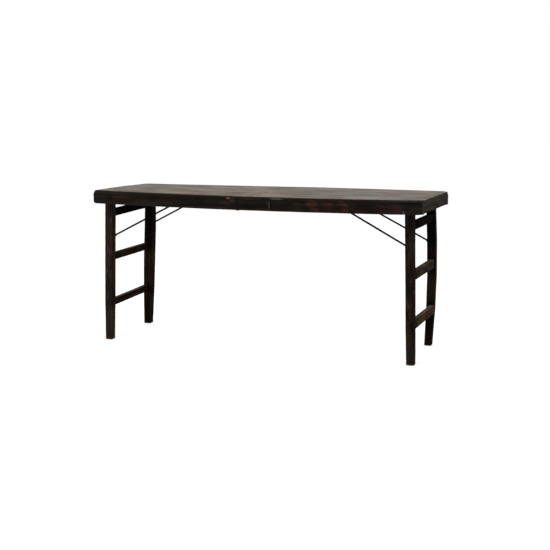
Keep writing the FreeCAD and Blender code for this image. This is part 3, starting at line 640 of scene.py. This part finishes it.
END_SKIN = 0.0026
END_RUBBED = (0.055, 0.047, 0.032)
end_wood = old_timber(
    "end_wood", 1, (4, 9, 1), END_DARK, END_GREY, END_RUBBED, roughness=0.86, specular=0.03,
)
for node in ("left_end_rail", "right_end_rail", "centre_batten"):
    rail = worn_copy(node, END_SKIN, SLAB_DENT)
    rail.data.materials.append(end_wood)

# ---------------------------------------------------------------- the leg frames
# Two posts and three rungs make a ladder at each end, joined with pegged tenons. The posts are adzed,
# with uneven widths and round arrises. The feet are paler where the floor has worn the stain away.

LEG_SKIN = 0.0018
POST_DENT = 0.0004
RUNG_DENT = 0.0006
# A dark colour for grime, and for painted shade high on the posts under the top.
GRIME_AND_SHADE = (0.0032, 0.0025, 0.0019)
FOOT_WORN = (0.115, 0.088, 0.062)
# Each post: its stain, brown and rubbed colours, and its gloss. The back posts are coloured darker as
# painted shade under the top, and the pale rubbed colours of the front posts are partly wear and partly a
# painted highlight.
POST_STAINS_SHADE_AND_HIGHLIGHT = {
    "left_front": ((0.023, 0.0145, 0.0103), (0.059, 0.0365, 0.0258), (0.220, 0.125, 0.095), 0.014),
    "right_front": ((0.013, 0.0090, 0.0066), (0.040, 0.0270, 0.0200), (0.150, 0.098, 0.072), 0.004),
    "left_back": ((0.007, 0.0040, 0.0026), (0.029, 0.0165, 0.0110), (0.060, 0.037, 0.025), 0.014),
    "right_back": ((0.0055, 0.0036, 0.0024), (0.018, 0.0115, 0.0080), (0.050, 0.033, 0.023), 0.020),
}
# Each mark on a post: its height, its reach up and down, its colour, and how strong it is. The dark marks
# high on the posts, under the top, are painted shade.
MARK_ACROSS_POST = 0.06
POST_MARKS = {
    "left_front": ((0.0, 0.018, FOOT_WORN, 0.7), (0.10, 0.09, (0.085, 0.062, 0.048), 0.5)),
    "right_front": (
        (0.0, 0.014, FOOT_WORN, 0.7),
        (0.67, 0.09, GRIME_AND_SHADE, 0.5),
        (0.08, 0.08, (0.025, 0.027, 0.020), 0.6),
    ),
    "left_back": ((0.60, 0.22, GRIME_AND_SHADE, 0.8), (0.37, 0.05, (0.050, 0.030, 0.019), 0.7)),
    "right_back": (
        (0.64, 0.15, GRIME_AND_SHADE, 0.8),
        (0.30, 0.09, (0.030, 0.0205, 0.0140), 0.8),
        (0.11, 0.11, GRIME_AND_SHADE, 0.74),
    ),
}
# Darker where the rungs meet the posts, most of all at the back.
CORNER_DARKENING_SIZE = (0.05, 0.05, 0.026)
CORNER_DARKENING = {"front": 0.3, "back": 0.7}
# The top rungs, just under the top, are coloured darker as painted shade.
TOP_RUNG_PAINTED_SHADE = ((0.0030, 0.0022, 0.0014), (0.0085, 0.0056, 0.0036), (0.022, 0.015, 0.010))
# The upper faces of the lower rungs are paler, as painted light from above, and one end of each is dark.
LEFT_RUNG = ((0.009, 0.0050, 0.0032), (0.047, 0.0240, 0.0140), (0.095, 0.056, 0.035))
LEFT_RUNG_LIT_TOP = ((0.080, 0.042, 0.024), (0.30, 0.185, 0.110), (0.12, 0.080, 0.052))
RIGHT_RUNG = ((0.019, 0.0118, 0.0076), (0.076, 0.0460, 0.0295), (0.150, 0.104, 0.074))
RIGHT_RUNG_LIT_TOP = ((0.085, 0.057, 0.038), (0.22, 0.160, 0.110), (0.15, 0.115, 0.085))
LOWER_RUNGS = (
    ("left", LEFT_RUNG, LEFT_RUNG_LIT_TOP, 0.205),
    ("right", RIGHT_RUNG, RIGHT_RUNG_LIT_TOP, -0.215),
)
RUNG_GRIME_SIZE = (0.06, 0.070, 0.05)
RUNG_GRIME = 0.8


def box_middle(node):
    """The middle of a solid's box."""
    low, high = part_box(node)
    return [(low[axis] + high[axis]) / 2 for axis in range(3)]


for post_name, (*wood_colours, gloss) in POST_STAINS_SHADE_AND_HIGHLIGHT.items():
    side, row = post_name.split("_")
    x, y, _ = box_middle(f"{post_name}_post")
    marks = []
    for height, reach, colour, strength in POST_MARKS[post_name]:
        half_sizes = (MARK_ACROSS_POST, MARK_ACROSS_POST, reach)
        marks.append(((x, y, height), half_sizes, colour, strength))
    for level in ("top", "middle", "lower"):
        corner = (x, y, box_middle(f"{side}_{level}_rung")[2])
        marks.append((corner, CORNER_DARKENING_SIZE, GRIME_AND_SHADE, CORNER_DARKENING[row]))
    post_wood = old_timber(
        f"{post_name}_wood", 2, (2, 8, 5), *wood_colours, roughness=0.85, specular=gloss, marks=marks,
    )
    post = worn_copy(f"{post_name}_post", LEG_SKIN, POST_DENT)
    post.data.materials.append(post_wood)
for side, wood_colours, lit_upper_colours, grimy_end in LOWER_RUNGS:
    top_rung_wood = old_timber(
        f"{side}_top_rung_wood", 1, (6, 2, 9), *TOP_RUNG_PAINTED_SHADE, roughness=0.9, specular=0.006,
    )
    top_rung = worn_copy(f"{side}_top_rung", LEG_SKIN, RUNG_DENT)
    top_rung.data.materials.append(top_rung_wood)
    for level in ("middle", "lower"):
        x, _, z = box_middle(f"{side}_{level}_rung")
        grime = ((x, grimy_end, z), RUNG_GRIME_SIZE, GRIME_AND_SHADE, RUNG_GRIME)
        rung_wood = old_timber(
            f"{side}_{level}_rung_wood", 1, (6, 2, 9), *wood_colours, roughness=0.85, specular=0.02,
            top=lit_upper_colours, marks=(grime,),
        )
        rung = worn_copy(f"{side}_{level}_rung", LEG_SKIN, RUNG_DENT)
        rung.data.materials.append(rung_wood)

# ---------------------------------------------------------------- ironwork and bamboo pegs
# The braces, staples, pins, axles and nails are hand-forged, black with age and a little rust, and the
# nails have sunk with the boards. The pegs of the tenons are squared bamboo.

# Black scale, grey scale and rust. The heads of the nails are worn to the colour of the top.
BLACK_IRON = ((0.0015, 0.0015, 0.0015), (0.0045, 0.0042, 0.0040), (0.013, 0.008, 0.006))
NAIL_IRON = ((0.045, 0.033, 0.023), (0.090, 0.066, 0.045), (0.100, 0.060, 0.032))
SCALE_RELIEF = 0.0004
BAMBOO = ((0.03, 0.02, 0.012), (0.05, 0.034, 0.02), (0.08, 0.05, 0.03))


def forged_iron(name, black, grey, rusty, roughness, specular):
    """Forged iron, dark with age and a little rust."""
    material, tree = bare_material(name)
    scale = mottle(tree, (1, 1, 1), 220, 5)
    rust = spread(tree, mottle(tree, (1, 1, 1), 45, 6, (5, 5, 5)), 0.5, 0.68)
    colour = mix_colours(tree, scale, black, grey)
    colour = mix_colours(tree, rust, colour, rusty)
    shine = spread(tree, scale, 0.3, 0.7, roughness - 0.1, roughness + 0.1)
    finished_surface(tree, colour, shine, specular, scale, SCALE_RELIEF)
    return material


iron = forged_iron("forged_iron", *BLACK_IRON, roughness=0.85, specular=0.02)
nail_iron = forged_iron("nail_iron", *NAIL_IRON, roughness=0.45, specular=0.05)
bamboo = old_timber("bamboo", 0, (1, 1, 1), *BAMBOO, roughness=0.6)
nails = joined_copy("board_nails", "sunk_nails")
bpy.ops.object.shade_flat()
knock(nails, (TOP_SUNK,))
nails.data.materials.append(nail_iron)
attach(nails, frame["nodes"]["board_nails"]["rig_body"])
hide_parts("board_nails")
for name, solid in frame["nodes"].items():
    if solid.hide_render:
        continue
    solid.data.materials.clear()
    solid.data.materials.append(bamboo if name.endswith("_pegs") else iron)
